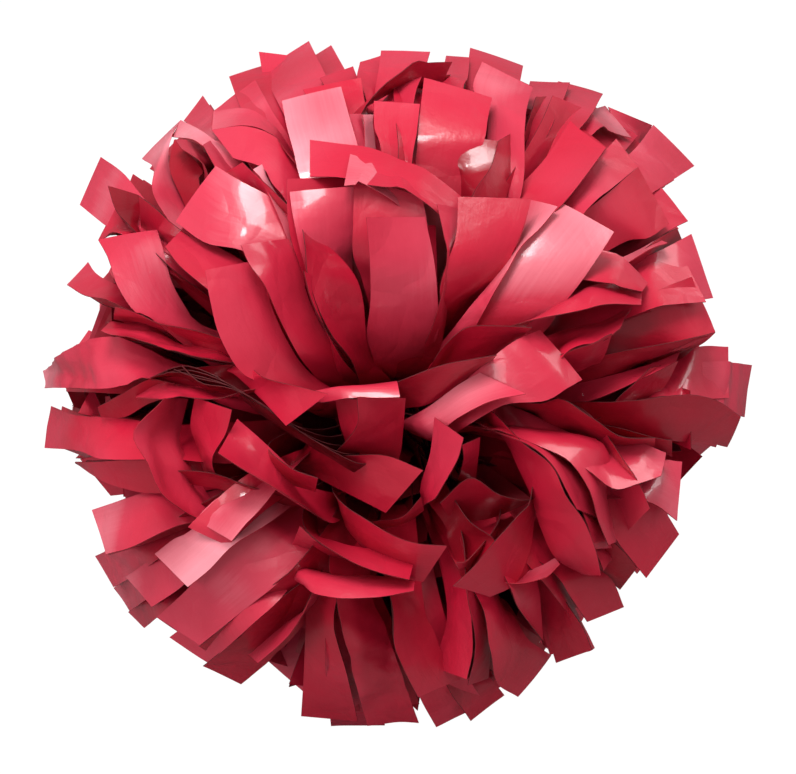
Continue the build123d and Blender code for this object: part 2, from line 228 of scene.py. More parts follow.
Q14 1.9, 63.3 -83.3 -61.8 60.1 -89.1 -60.3, 56 -96.4 -43 53 -102.4 -42.2,
 49.4 -103.9 -28.1 45.3 -110.5 -29.1;
Q15 1.6, 50.5 -87.8 -64.8 60.5 -99.3 -54.6, 47.3 -92.1 -53.3 56.6 -103.9 -44.2,
 44.7 -93.2 -41 50 -105.5 -33.4;
BR12 2, 48.9 -87.3 -62.3 37.7 -99.3 -70.9, 40.3 -101 -50 29.8 -114.6 -57.8,
 35.7 -106.7 -39.8 27.2 -121.5 -43.7, 31 -108.3 -33.8 24.3 -121.6 -29.6;
BR3 2.5, 28.3 -98.5 -64.7 21.4 -111.8 -60.3, 28.3 -106.1 -51.9 23.1 -118.8 -45.7,
 27 -110.5 -39.7 22.2 -123.2 -33.7, 24.7 -112.9 -30.7 20.2 -125.1 -23.1;
BR4 2, 15.9 -131.5 -18.3 27.3 -119.7 -27.2, 22.3 -129.4 -12.7 34.7 -118.2 -23.7,
 28.7 -126.5 -5.5 38.9 -114.9 -15.1, 34.8 -122.8 0.2 40.2 -110.7 -7.9,
 38.6 -118.4 3.8 41.1 -105.7 -2.5;
BR5 0.7, 19.4 -114.9 -24.5 23.9 -125.8 -12.7, 15.5 -111.6 -13.9 28.2 -124.1 -7.4,
 14 -109.2 -8.5 20.4 -121.7 -1.8;
BR6 2.2, 19.4 -116.2 -23.9 16.8 -127.3 -12.7, 23 -114 -19.4 20.9 -126.3 -11.8;
BR7 2.1, 44.8 -103.1 -49.7 40.7 -114.6 -39.8, 43.6 -106.9 -38.1 35.4 -119.1 -30.4,
 42.3 -108.6 -27.7 32.7 -121.8 -22.7;
BR8 3.2, 47.3 -124.1 -14.7 47.1 -110.7 -18.6, 41.8 -125.2 -19 41.7 -111.3 -21.5;
BT1 2.2, -31.8 -78.6 -88.7 -13.1 -82.2 -88.6, -29.7 -94.3 -64 -15.5 -104.7 -60.8,
 -28.4 -102 -42.4 -18.9 -115.1 -37.5;
BT2 3, -22.8 -59.8 -102.6 -4.5 -55.4 -104.6, -22.6 -91.6 -72.4 -6.5 -83.3 -76.8,
 -22.4 -107.4 -50.6 -8.8 -95.7 -56.4;
BT3 2.3, -9.9 -92.8 -84.3 6.8 -84.6 -88, -12.9 -109.9 -61.6 2.2 -99.6 -66.2,
 -15.9 -118.5 -41.8 -2.1 -106.7 -46.9, -18.4 -120.1 -28.6 -6.7 -107.3 -34.5;
BT5 2, 6.1 -115.4 -62.5 19.3 -102.2 -63.2, 1.5 -121.1 -49.8 13.5 -107.2 -51.4,
 -1.5 -123.2 -39.6 10.7 -109.6 -42.8, -2.1 -121.6 -28.6 7.9 -109.4 -36.6;
BT6 2.2, 12.2 -91.3 -85.8 28.3 -82.4 -81.9, 6.9 -102.6 -69.5 23.5 -93.2 -69.5,
 3.7 -108.9 -56 18.8 -97.5 -57.2;
BT7 1.8, 23.5 -89.1 -84.9 34.9 -74.6 -83.1, 20.3 -96.1 -76.5 31.2 -81.2 -75,
 15.7 -99 -67.9 26.4 -84 -67.1;
BT8 2.2, 11.2 -102.8 -58.7 20.9 -116.6 -55.8, 12.9 -105.6 -50.8 22.5 -118.5 -45.2,
 15.3 -106.3 -40.4 22.1 -118.6 -32.6;
LL1 3.1, -76.8 -84.5 -50.3 -62 -96.3 -54.4, -64.5 -100.8 -32.9 -48 -108.7 -37.6,
 -54 -109.6 -17.4 -37.7 -114.5 -26.7, -45.1 -108.6 -6.5 -28.3 -113.7 -18.3,
 -38.7 -102.2 -6.5 -24 -110.2 -15.5;
LL1b 2.6, -74.3 -74.8 -62 -60.4 -87.9 -64.8, -56.7 -98.1 -38.8 -44.1 -112.7 -39.7;
LL2 3.9, -75.1 -95 -24 -63.4 -109.7 -28.5, -68.4 -99.5 -17.1 -56.1 -114.3 -20.6,
 -62.4 -103 -12.7 -49 -117.5 -11.8;
LL3 3.1, -87.7 -74.1 -41 -77.5 -89.9 -44.3, -77.6 -86.8 -29.6 -65.6 -102 -31.3,
 -67.4 -93.1 -20.1 -58.2 -108 -20.4;
LL5a 2.9, -98.4 -35.1 -62.5 -90.8 -50.4 -64.1, -85.2 -71.2 -39.9 -76.9 -86.5 -41.7;
LL5b 2.6, -94 -34.6 -71.9 -86.5 -49.1 -71.1, -82 -66.8 -50.7 -74.6 -81.3 -50;
LL6 3, -98.4 -69.1 -19.8 -92 -84.6 -28.5, -85.8 -80.4 -11.6 -82.1 -96.5 -21.1,
 -76.3 -86.8 -6.7 -70.6 -103 -13, -66.8 -89 -7.8 -62.1 -104.3 -9.6;
LL7 1.4, -94.4 -68.4 -34.7 -94.7 -63.2 -38, -77.1 -89.6 -20.3 -77.3 -84.7 -24.4,
 -62.8 -102.3 -6.5 -60.5 -97.9 -12.2;
LL8 2.8, -104.5 -34.2 -50.9 -95.8 -50.4 -55.3, -91.4 -64.2 -34.4 -82.3 -79.7 -36.8,
 -78.5 -80.2 -24.2 -72 -95.1 -24.6;
LL9 3.4, -60.6 -106.8 -7.9 -48.5 -121.7 -8.4, -57.2 -107 -4 -44.3 -121.4 -3.2,
 -51.8 -105.3 -0.4 -39.7 -119.5 1.1;
LL10 2.2, -62.9 -108.2 -9.6 -50.1 -115.5 -12.6, -59.1 -109.2 -5.3 -47.2 -116.6 -8.7;
LL11 1.6, -62.6 -85.6 -67 -51.5 -75.4 -78.7, -50.3 -103.2 -49.3 -37.3 -92.3 -58,
 -38.7 -111.1 -33.8 -26.6 -99.4 -41.6, -26.4 -111.4 -22.8 -17.9 -99.3 -30.8;
LL12 1.2, -62.8 -92.3 -56.7 -55.6 -81.4 -68.4, -48.1 -107.7 -38 -40 -97.6 -52,
 -30.5 -117.6 -18.1 -22.2 -106.5 -29.3;
LL13 3, -47 -93.9 -59 -43.1 -107.3 -55.1, -34.4 -104.4 -43.3 -31.8 -117.8 -39.2;
LA 2.7, -119.8 -17.5 -1.9 -119.7 -33.5 -11.5, -105.4 -51.7 6.5 -102 -67.9 -0,
 -94.1 -70 12.1 -90.9 -87.1 4, -82.8 -78.3 14 -79.2 -95.2 6.7, -70.4 -83.1 14 -67.1 -99.6 8.6;
LB 2.1, -103.2 -68 -3.8 -103.9 -62.4 -6.2, -95 -78.3 0.1 -94.4 -74.4 -7.5,
 -85.8 -86.7 3.8 -84.8 -83.8 -6.9, -76.2 -92.7 6.1 -74.6 -90.2 -5.7;
LC 2.8, -69.4 -104 29.8 -63.6 -90.8 25.1, -78.1 -107.5 20.4 -66.5 -95.5 13.2,
 -74 -110.1 11.9 -62.9 -97.6 5.6, -69 -111.7 0.5 -58.9 -97.2 -0.4;
LD 2, -60.2 -101.5 29.2 -48 -115.9 30.1, -61.9 -100.1 19.9 -50.1 -114 22.3,
 -60.4 -96.7 12 -54.7 -111.1 12.9;
LE 2.5, -47.3 -107.9 24.5 -51.6 -124.1 19.8, -39.9 -110.5 18.6 -43.5 -126.3 15.2,
 -31.9 -110.6 10.5 -34.5 -125.8 9.2, -24.8 -106.3 2.2 -27.1 -121.2 1.8;
LE2 1.4, -22.9 -125.9 12.9 -24.4 -114.1 4, -31.1 -122 14.8 -34 -110.3 5.6;
LF 2, -32.4 -116.2 25.3 -19.8 -124.3 37.7, -39.9 -106.9 30.1 -28.1 -118.5 37.9,
 -48.3 -96.3 34.4 -39.5 -109.8 38.1;
LG 3.8, -123.5 -9 8.1 -120.5 -24.1 6.8, -110.9 -42.5 23.8 -105.2 -58.2 17.9,
 -99.9 -62 34.8 -92.3 -77.7 24, -88 -70.6 38.6 -84 -86.6 28.1,
 -79.7 -74.9 36.4 -77.9 -90.6 31.7, -68.7 -77.8 32.7 -68.5 -93.2 30.6;
LH 1.5, -93.4 -76.8 17.8 -93.4 -72.1 12.9, -85.8 -83.9 23.7 -84.6 -80.2 15.6,
 -75.7 -88.7 30.7 -75.3 -85.2 22.2, -62.4 -92.4 35.4 -63.1 -89.2 25.8;
LI 2.6, -80.2 -84.9 24 -77.9 -98.3 28, -72.2 -88.7 28.5 -68.6 -103.2 29.2,
 -58.1 -92.6 29.8 -55.8 -106.9 31;
LK 2.1, -86.7 -75.9 49.8 -89.2 -63.6 42.4, -78.8 -82.2 49.7 -80.2 -69.9 42.3,
 -70.1 -86.8 48.1 -71 -74.7 39.9;
LM 2.4, -89.9 -62.9 41.9 -91.1 -77.3 42.9, -80.2 -69.6 42.2 -84.9 -84.2 42.7,
 -69.6 -75.7 40.8 -74.5 -89.9 42.5, -56 -80.9 36.9 -59.1 -94.8 39.3;
LN 2.5, -103.4 -22.9 50.6 -107.9 -38.8 46.9, -98.2 -37.4 50.2 -100 -53.1 47.4,
 -89.6 -49.5 49.1 -90 -64.5 48.2, -78.3 -59 45.7 -78.9 -73.7 45.7;
LO 2.9, -93.7 -58.6 66.7 -75.7 -54.3 68.9, -89.2 -68.9 63.5 -73.2 -61 64.1,
 -85.5 -77.5 57.2 -70.2 -68 55.9, -79.9 -82.7 50.4 -65.7 -72 48.7,
 -75.1 -83 48.3 -61.5 -72.4 43.4;
LP 3.2, -110.1 5.4 63.8 -103.7 16.1 78.5, -96.6 -24 63.1 -91.8 -11.3 78,
 -85.5 -46.7 63.8 -80.1 -31.9 71.3, -74.6 -57.8 63.3 -70 -41.4 68.5;
LP2 0.8, -94.4 -29.7 77.8 -84.8 -24.8 73.4, -90.1 -42.8 72.7 -83.3 -37.5 69.9,
 -83.8 -52.6 69.4 -81.8 -47.2 66.9;
LP3 2.4, -97.4 -34.9 61 -92.8 -26 69, -88.3 -49.1 65.7 -85.3 -42.7 66.1;
LP4 1.9, -81.4 -51.3 79.1 -82.4 -41 65.4, -75.4 -59.7 77.1 -75.6 -49.3 63.8,
 -67.5 -67.6 72.6 -68.5 -56.6 61.4;
LQ 3.5, -85.5 -11.5 83.1 -73 -2.9 94.7, -78.9 -31.7 84.1 -74.5 -17.2 91.2,
 -77.8 -46.3 81.6 -74.5 -30.5 84.8, -75.5 -55.2 78.7 -68.8 -41.2 76.6,
 -70.9 -59.8 72.7 -66.2 -44.7 73.8;
LT 3.5, -72.8 -5.2 95.1 -75 -12.9 90.8, -61 -32.4 95 -62.6 -39.2 93.3;
LRa 0.8, -73.2 -22.6 91.6 -67.3 -30 88, -73.3 -35.5 84.8 -62 -41.8 84.8,
 -68.6 -45.5 77.5 -62.2 -50.2 82.4;
LRb 2.3, -71.5 -33.6 93.9 -64.7 -20.2 89.8, -65.4 -47 91.3 -59.6 -34.2 85.3,
 -60.7 -54.4 87.4 -62.2 -41.6 81.2;
LS 2.9, -73.9 12.6 91.7 -68.8 29.3 97.8, -62.2 -21.7 92.4 -60.3 -5.8 96.2,
 -54.1 -39.9 90.9 -52.8 -24.3 93.5;
LU 2.8, -61.3 -46.3 94.3 -59.5 -31.8 93.6, -57.1 -58.4 91 -53.1 -44 90.1;
LV 2.9, -68.1 -67.5 74.5 -55.8 -62.2 90.8, -58.1 -76.2 70 -47.9 -69.2 87.6,
 -45.6 -81.9 68.6 -33.6 -72.7 80.3;
LW 2.3, -70 -80.5 69.8 -66.3 -65 72, -64.6 -87.3 65.3 -55 -72 67.7,
 -56.3 -92.2 59.9 -46.1 -77 63.9;
LX 1.9, -53.1 -58.7 88.2 -47.4 -63.7 92.2, -44.6 -66.3 84.2 -41.1 -71.3 88.3,
 -34.5 -73.2 78.2 -32.4 -78.3 81.9;
LY 3.6, -44.2 -65.9 90.3 -41 -59.3 91.2, -39.9 -71.9 86.3 -39.7 -65.3 87.1;
K0 2.8, -61.8 -6.7 98.1 -48.3 3.6 107.2, -52.8 -38.5 94.5 -40.8 -25.9 101.9,
 -45.1 -57.7 88.6 -33.4 -43.7 94.8;
K1 2.5, -58.7 21.8 105.5 -43.3 32.2 109.2, -51.8 -17.3 101.5 -37.4 -5.4 104.5,
 -45.2 -42.7 95.3 -32.3 -29 97.3;
K2 2.6, -48.9 31.7 112.8 -32.4 25 111.6, -46.1 14.3 104.9 -30.6 7.9 104.5,
 -41.4 -17.4 97.2 -26.7 -23.4 98.3;
K3 2.8, -47.6 26.9 106.5 -31.2 30.2 116.8, -38.7 -21.5 102.8 -23.6 -13.4 111,
 -31.6 -47.3 96.1 -17.8 -36 103.6;
K4 2.7, -38.6 22.2 106.1 -23.4 29.6 115.5, -29.9 -23 102.8 -16.1 -12.2 110.5,
 -23 -44.9 96.3 -10.2 -31.9 103.6;
M2 2.7, -59 -39.8 97.9 -51 -56.4 92.1, -48 -45.6 100.2 -41.7 -62.6 90.6,
 -38.6 -51 98 -38.3 -68.2 86.8, -32.5 -55.9 91.4 -33.6 -73.4 81.7;
M3 2.9, -60.8 -16.4 99.7 -59.7 -32.1 96.5, -51.2 -24.3 102.3 -48.4 -40 99.2,
 -43.5 -33.2 101.6 -39.3 -49 98.3, -35.6 -44.6 95.6 -32.6 -60.2 92.9;
C1r 2.6, -0.3 -110.8 37.2 0.6 -117.9 34.7, -9.6 -110.3 35.8 -8.6 -117.2 34.1,
 -19 -109.1 33.6 -17.3 -115.5 33.3;
C2c 1.6, -11.7 -119.4 35.2 2.1 -107.1 30.8, -11.9 -115.8 25.4 1.5 -105.7 20.4,
 -17.7 -108.5 15.1 0.6 -103.7 11.4, -22.9 -98.7 7 -2.4 -99.3 5.3;
C2b 1.4, -18.5 -107.8 31 -11 -113.6 32.4, -17.1 -106.6 22.2 -12 -112.3 24.2,
 -15.7 -104.9 16.9 -13.5 -110.3 19.5;
C3 1.5, -3.6 -113.2 -3 7.3 -118 12.3, -15.8 -107.1 1.2 -4.4 -114.2 15.6,
 -28.4 -98.7 4.7 -18.8 -110.4 13.9;
C4 2.2, 6.8 -113.7 2.2 7.7 -109.3 -3.6, 2.1 -112.6 -3.9 3 -107.6 -8.2,
 -3 -109.9 -6.6 -1.8 -105 -10.9;
C5 2.2, 10.8 -109.8 25.8 18.8 -124.9 24.7, 9.7 -110.3 14.2 16.9 -124 17.4,
 6.8 -110 3.3 12.1 -123.3 7.6, 6.9 -107.3 -0.3 9.9 -120.7 3.8;
C7 1.9, 14.2 -125.2 -8.5 7.5 -115.6 -24.2, 4.1 -125 -7.6 0 -115.2 -22.8,
 -6.1 -123.2 -3.7 -9.9 -112 -14.8;
C8 2.3, 5.1 -115.2 -16.6 3.2 -130.1 -17.1, -5.3 -114.4 -14.4 -6.7 -129.2 -14.7,
 -16.1 -112.6 -13.2 -16.8 -126.6 -11.1;
C9 2.5, 5.1 -116.8 -23.3 4.6 -130.6 -20.3, -7.7 -115.9 -22.1 -7 -130.8 -22.5,
 -20.3 -113.6 -22.5 -19.2 -128.6 -23.4;
C11 1.8, -28.6 -121.9 -3.6 -31.7 -110.7 -14.4, -22.8 -121.8 -9.3 -26.1 -109.6 -17.1,
 -15 -120.6 -13.7 -15.7 -108.1 -20.7;
C12 1.2, 12.2 -121.9 3.6 15.5 -110.3 -5.8, 20.9 -119.1 10.3 22.4 -110 -6.9,
 29.8 -118 4.6 30.6 -106.8 -6.3, 39.2 -114.4 1.9 40.2 -101.5 -3.9;
C13 1.8, 18.5 -118.6 20.3 24 -112.2 20.5, 18.9 -116.7 15 23.5 -110.9 13.4;
LDk 1.2, -70.1 -101 5.9 -69.3 -96.4 0.6, -55.9 -107 7.3 -55.9 -102.7 1.1,
 -40.2 -111.1 3.7 -41.9 -106.5 -1.6;
LJ0 0.4, -74.4 -93.8 32.7 -74.6 -88.4 30, -63.2 -98.5 37.9 -63.3 -93.4 34.4,
 -51 -103.6 34.6 -50.9 -98.4 31, -40 -106.5 27.5 -41.1 -101.3 23.9;
LJ1 0.4, -71.7 -95.6 34.2 -71.9 -90.1 31.5, -61.9 -100 37.2 -61.9 -94.9 33.7,
 -49.4 -104.9 34.1 -49.3 -99.8 30.5, -34.6 -109.3 25 -35.6 -104.2 21.4;
LJ2 0.4, -69.1 -97.1 35.6 -69.2 -91.7 33, -60.5 -101.5 36.4 -60.6 -96.3 32.9,
 -47.8 -106.1 33.6 -47.8 -101 30, -29.2 -111.7 22.5 -30.2 -106.6 18.8;
LJ3 0.4, -66.5 -98.6 37 -66.6 -93.1 34.4, -59.2 -102.9 35.6 -59.3 -97.7 32.1,
 -46.3 -107.2 33 -46.2 -102.1 29.4, -23.9 -113.7 19.8 -24.8 -108.6 16;
LJ4 0.4, -63.9 -99.9 38.4 -64 -94.4 35.7, -58 -104.2 34.8 -58 -99.1 31.2,
 -44.8 -108.2 32.4 -44.7 -103 28.8, -18.7 -115.3 16.9 -19.5 -110.2 13.2;
U3b 2.3, 65.1 23.3 97.2 83.9 19.5 85.3, 57.6 -13.8 94.6 72.1 -22.7 85.6,
 50.5 -37.1 89.1 60 -52.9 83.9;
J7 2.1, -1.6 -19.6 113.3 15.8 -11.8 111.8, -1.3 -44.8 105.7 13.4 -33.4 103.2,
 0 -64.3 96.1 11.2 -50.6 92.9;
U1b 1.8, 69.2 21 91.3 88.1 17.6 80.7, 59.4 -23.6 91.1 74 -20.4 79.2,
 50.6 -52.3 87.6 62 -42.3 75.9
"""

# How far the middle of a strip stands off its edges; the others get a small random bow
BOWS = {"LE": 3.2, "C9": 2.4, "C1r": 2.6, "V": -1.6, "LV": 1.6, "H": -1.2, "E1": 0.9, "F": 1.0,
        "Y": 0.8, "G": 0.8, "C1": 0.7, "C2": 0.7, "A": 0.7, "Z": 1.0, "BR12": 1.0, "Q3": 0.8,
        "Q5": 0.8, "LO": 0.8, "LG": 1.2}
CRUSHED = ("LC", "R7", "R8", "LG", "LI", "LK", "LM", "LP3", "LRb", "P2", "R3c", "BT3")


def read_strips():
    """The table as (name, tone, left edge, right edge), fitted to the frame's size."""
    scale = (CAD_HI - CAD_LO) / LAYOUT_SIZE
    scale = np.where(np.abs(scale - 1) < 0.04, 1.0, scale)
    strips = []
    for entry in STRIP_TABLE.split(";"):
        (name, tone_and_painted_light), *pairs = [part.split() for part in entry.split(",")]
        pairs = np.array(pairs, float) * np.r_[scale, scale]
        if name == "E2":
            pairs = pairs * 0.965      # draws E2 in behind E1
        strips.append((name, float(tone_and_painted_light), pairs[:, :3], pairs[:, 3:]))
    return strips


# ------------------------------------------------------------------ strip shapes
def unit(v):
    return v / (np.linalg.norm(v, axis=-1, keepdims=True) + 1e-12)


def spline(points, count, stations):
    """Catmull-Rom through the points, sampled evenly along their stations."""
    padded = np.vstack([2 * points[0] - points[1], points, 2 * points[-1] - points[-2]])
    out = []
    for s in np.linspace(0, stations[-1], count):
        i = int(min(max(np.searchsorted(stations, s, side="right") - 1, 0), len(points) - 2))
        t = (s - stations[i]) / max(stations[i + 1] - stations[i], 1e-9)
        a, b, c, d = padded[i:i + 4]
        out.append(0.5 * (2 * b + (c - a) * t + (2 * a - 5 * b + 4 * c - d) * t * t
                          + (3 * b - a - 3 * c + d) * t ** 3))
    return np.array(out)


def zigzag(x):
    return 2 * np.abs(x - np.floor(x + 0.5))


def strip_grid(left, right, rng, bow, rows, cols, crinkle, crumple):
    """Mid surface of a strip as a (rows, cols, 3) grid, cut end first."""
    steps = np.linalg.norm(np.diff((left + right) / 2, axis=0), axis=1)
    stations = np.r_[0, np.cumsum(steps)]
    length = stations[-1]
    a, b = spline(left, rows, stations), spline(right, rows, stations)
    s = np.linspace(0, 1, cols)
    grid = a[:, None] * (1 - s)[None, :, None] + b[:, None] * s[None, :, None]
    run = unit(np.gradient((a + b) / 2, axis=0))
    normal = unit(np.cross(run, unit(b - a)))
    t = np.linspace(0, 1, rows)
    fade = np.clip((1 - t) * 1.6, 0, 1)[:, None]
    x, y = np.meshgrid((s - 0.5) * STRIP_W, t * length)
    height = bow * (1 - (2 * s - 1) ** 2)[None, :] * fade
    # soft waves
    for _ in range(3):
        freq, angle, phase = rng.uniform(0.05, 0.16), rng.uniform(0, math.pi), rng.uniform(0, 6.28)
        wave = freq * (x * math.cos(angle) * 1.6 + y * math.sin(angle)) + phase
        height = height + crinkle * 0.16 * np.sin(wave)
    # creases
    for _ in range(rng.integers(2, 5)):
        angle, centre = rng.uniform(-1.2, 1.2), rng.uniform(0.02, 0.75) * length
        width = rng.uniform(3.0, 9.0)
        line = (y - centre) * math.cos(angle) + x * math.sin(angle)
        height = height + crinkle * rng.uniform(-0.75, 0.75) * np.exp(-np.abs(line) / width)
    # flat facets with sharp folds between them, where the film has been crushed
    for pitch in (27.0, 17.0, 11.0):
        angle, phase = rng.uniform(0, math.pi), rng.uniform(0, 1)
        folds = zigzag((x * math.cos(angle) + y * math.sin(angle)) / pitch + phase) - 0.5
        height = height + crumple * (pitch / 17.0) * folds * fade
    height = height * np.clip(0.35 + t * 3.0, 0, 1)[:, None]
    return grid + height[:, :, None] * normal[:, None, :]


def set_attribute(mesh, name, domain, values):
    attribute = mesh.attributes.new(name, "FLOAT", domain)
    attribute.data.foreach_set("value", values.astype(np.float32))


def add_film_object(name, mesh, body, replaced):
    obj = bpy.data.objects.new(name, mesh)
    bpy.context.scene.collection.objects.link(obj)
    obj.data.materials.append(film)
    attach(obj, body)
    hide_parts(replaced)


class Sheaf:
    """Strips that swing together, collected into one mesh."""

    def __init__(self):
        self.verts, self.faces, self.walls, self.uvs = [], [], [], []
        self.points = {"tone_and_painted_light": [], "rnd": [], "along": [], "across": []}

    def add(self, grid, tone_and_painted_light, rnd):
        """Thickens a mid surface into a closed shell that stays above the floor."""
        rows, cols = grid.shape[:2]
        normal = unit(np.cross(np.gradient(grid, axis=0), np.gradient(grid, axis=1)))
        offset = normal * FILM_T / 2
        lowest = FLOOR + FILM_T
        top, bottom = grid + offset, grid - offset
        for face in (top, bottom):
            face[..., 2] = np.maximum(face[..., 2], lowest)
        bottom[..., 2] = np.where(top[..., 2] <= lowest + 1e-6, lowest - 0.12, bottom[..., 2])
        first = sum(len(v) for v in self.verts)
        self.verts += [top.reshape(-1, 3), bottom.reshape(-1, 3)]
        count = rows * cols
        for key, values in (("tone_and_painted_light", np.full(count, tone_and_painted_light)), ("rnd", np.full(count, rnd)),
                            ("along", np.repeat(np.linspace(0, 1, rows), cols)),
                            ("across", np.tile(np.linspace(-0.5, 0.5, cols), rows))):
            self.points[key].append(np.tile(values, 2))

        index = np.arange(count).reshape(rows, cols)
        corner = index[:-1, :-1].ravel()
        quads = np.c_[corner, corner + 1, corner + cols + 1, corner + cols]
        ring = np.r_[index[0], index[1:, -1], index[-1, -2::-1], index[-2:0:-1, 0]]
        after = np.roll(ring, -1)
        walls = np.c_[ring, after, after + count, ring + count]
        faces = np.vstack([quads[:, ::-1], quads + count, walls])
        self.faces.append(faces + first)
        self.walls.append(np.arange(len(faces)) >= 2 * len(quads))
        # top face in the lower half of the strip's cell, bottom face in the upper half
        flat = np.stack(np.meshgrid(np.linspace(0.02, 0.98, rows), np.linspace(0, 1, cols),
                                    indexing="ij"), -1).reshape(-1, 2) * [1, 0.46]
        self.uvs.append(np.vstack([flat + [0, 0.02], flat + [0, 0.52]])[faces.ravel()])

    def packed_uvs(self):
        """Lays the strips' UV cells out side by side."""
        cols = max(1, int(math.ceil(math.sqrt(len(self.uvs) * 0.4))))
        rows = int(math.ceil(len(self.uvs) / cols))
        packed = []
        for k, uv in enumerate(self.uvs):
            row, col = divmod(k, cols)
            corner = [(col + 0.02) / cols, (row + 0.03) / rows]
            packed.append(uv * [0.96 / cols, 0.94 / rows] + corner)
        return np.vstack(packed)

    def build(self, body):
        name = body + "_strips"
        mesh = bpy.data.meshes.new(name)
        verts, faces = np.vstack(self.verts) / 1000.0, np.vstack(self.faces)
        mesh.from_pydata(verts.tolist(), [], faces.tolist())
        for key, values in self.points.items():
            set_attribute(mesh, key, "POINT", np.concatenate(values))
        walls = np.concatenate(self.walls)
        set_attribute(mesh, "cut_edge", "FACE", walls)
        uv = mesh.uv_layers.new(name="OFBake")
        uv.data.foreach_set("uv", self.packed_uvs().astype(np.float32).ravel())
        mesh.polygons.foreach_set("use_smooth", ~walls)
        # crisp cut edges: the thin walls meet the faces at hard corners
        loop_edges = np.empty(len(mesh.loops), np.int32)
        mesh.loops.foreach_get("edge_index", loop_edges)
        hard = np.zeros(len(mesh.edges), bool)
        hard[loop_edges[np.repeat(walls, 4)]] = True
        mesh.edges.foreach_set("use_edge_sharp", hard)
        mesh.update()
        head, kind, number = body.split("_")
        add_film_object(name, mesh, body, "%s_%s_fringe_%s" % (head, kind, number))


# ------------------------------------------------------------------ laying strips
sheaves = {}


def sheaf_of(head, point):
    hub, side = HEADS[head]
    u = unit(point - hub)
    polar = math.degrees(math.acos(max(-1, min(1, side * u[1]))))
    azimuth = math.degrees(math.atan2(u[2], u[0])) % 360
    if polar < CROWN_ANGLE:
        return "%s_crown_%d" % (head, int(round(azimuth / 90)) % 4 + 1)
    return "%s_side_%d" % (head, int(round(azimuth / 45)) % 8 + 1)


def head_of(left, right):
    return "front" if (left[0] + right[0])[1] / 2 < SPLIT_Y else "rear"


def rooted(head, left, right, tie_width):
    """Carries a strip's inner end on down to the tie, narrowing as the film gathers."""
    hub, side = HEADS[head]
    start = (left[-1] + right[-1]) / 2
    u = unit(start - hub)
    outward = unit(np.array([u[0], 0, u[2]]) + [1e-6, 0, 0])
    crown = side * u[1] > math.cos(math.radians(CROWN_ANGLE))
    root = hub + outward * (13.0 if crown else 15.2)
    root = root + np.array([0, side * (9.5 if crown else -1.5), 0])
    across = unit(right[-1] - left[-1])
    rim = unit(np.array([-outward[2], 0, outward[0]]))
    if rim @ across < 0:
        rim = -rim
    start_width = min(np.linalg.norm(right[-1] - left[-1]), STRIP_W)
    run = unit(start - (left[-2] + right[-2]) / 2)
    far = np.linalg.norm(root - start)
    left, right = list(left), list(right)
    for t in ((0.35, 0.7, 1.0) if far > 14 else (1.0,)):
        p = (1 - t) ** 2 * start + 2 * t * (1 - t) * (start + run * far * 0.42) + t * t * root
        a = unit(across * (1 - t) + rim * t)
        width = start_width * (1 - t) + tie_width * t
        left.append(p - a * width / 2)
        right.append(p + a * width / 2)
    return np.array(left), np.array(right)


def lay(head, left, right, rng, tone_and_painted_light, bow, rows, cols, crinkle, crumple=0.0, tie_width=8.0):
    """Adds one strip to the sheaf it belongs to."""
    body = sheaf_of(head, 0.35 * (left[0] + right[0]) / 2 + 0.65 * (left[-1] + right[-1]) / 2)
    left, right = rooted(head, left, right, tie_width)
    grid = strip_grid(left, right, rng, bow, rows, cols, crinkle, crumple)
    # nothing inside the gathered film and tie
    radius = np.sqrt(grid[..., 0] ** 2 + grid[..., 2] ** 2)
    off_hub = np.abs(grid[..., 1] - HEADS[head][0][1])
    inside = (off_hub < TIE_HALF) & (radius < TIE_R)
    push = np.where(inside, TIE_R / np.maximum(radius, 1.0), 1.0)
    grid[..., 0] *= push
    grid[..., 2] *= push
    sheaves.setdefault(body, Sheaf()).add(grid, tone_and_painted_light, rng.uniform())


# Outline of the pom pom from the camera, kept in 5 degree sectors
SECTORS = 72
CAMERA_SIDE = np.array([1.0, 0, 0])
CAMERA_UP = np.array([0, math.sin(CAM_TILT), math.cos(CAM_TILT)])


def outline_r(points):
    """How near the ball's outline each point shows from the camera: 1 is on it."""
    d = (np.atleast_2d(points) - EYE) / AXES
    return np.linalg.norm(np.cross(EYE / AXES, d), axis=1) / np.linalg.norm(d, axis=1)


def sector(points):
    d = np.atleast_2d(points) - EYE
    return (np.degrees(np.arctan2(d @ CAMERA_UP, d @ CAMERA_SIDE)) // 5).astype(int) % SECTORS


def outline_of(strips):
    """How far out the strips show in each sector."""
    reach = np.zeros(SECTORS)
    for _, _, left, right in strips:
        for line in (left, right, (left + right) / 2, 0.75 * left + 0.25 * right,
                     0.25 * left + 0.75 * right):
            dots = np.vstack([line[:-1] * (1 - t) + line[1:] * t for t in (0, 0.25, 0.5, 0.75)])
            np.maximum.at(reach, sector(dots), outline_r(dots))
    reach = np.clip(reach, 0.86, 1.0)
    return np.minimum(reach, np.maximum(np.roll(reach, 1), np.roll(reach, -1)))


def tucked(head, left, right, margin):
    """Draws a strip towards its hub until it is inside the outline and off the floor."""
    hub = HEADS[head][0]
    for _ in range(16):
        points = np.vstack([left, right])
        inside = (outline_r(points) - outline[sector(points)]).max() <= -margin
        if inside and points[:, 2].min() > FLOOR + 0.5:
            break
        middle = (left + right) / 2
        moved = hub + (middle - hub) * 0.965
        left, right = left + moved - middle, right + moved - middle
    return left, right


def turned(points):
    """Mirrors points to the other end of the baton and turns them 150 degrees round it."""
    c, s = math.cos(math.radians(150)), math.sin(math.radians(150))
    q = points / AXES
    return np.c_[c * q[:, 0] - s * q[:, 2], -q[:, 1], s * q[:, 0] + c * q[:, 2]] * AXES


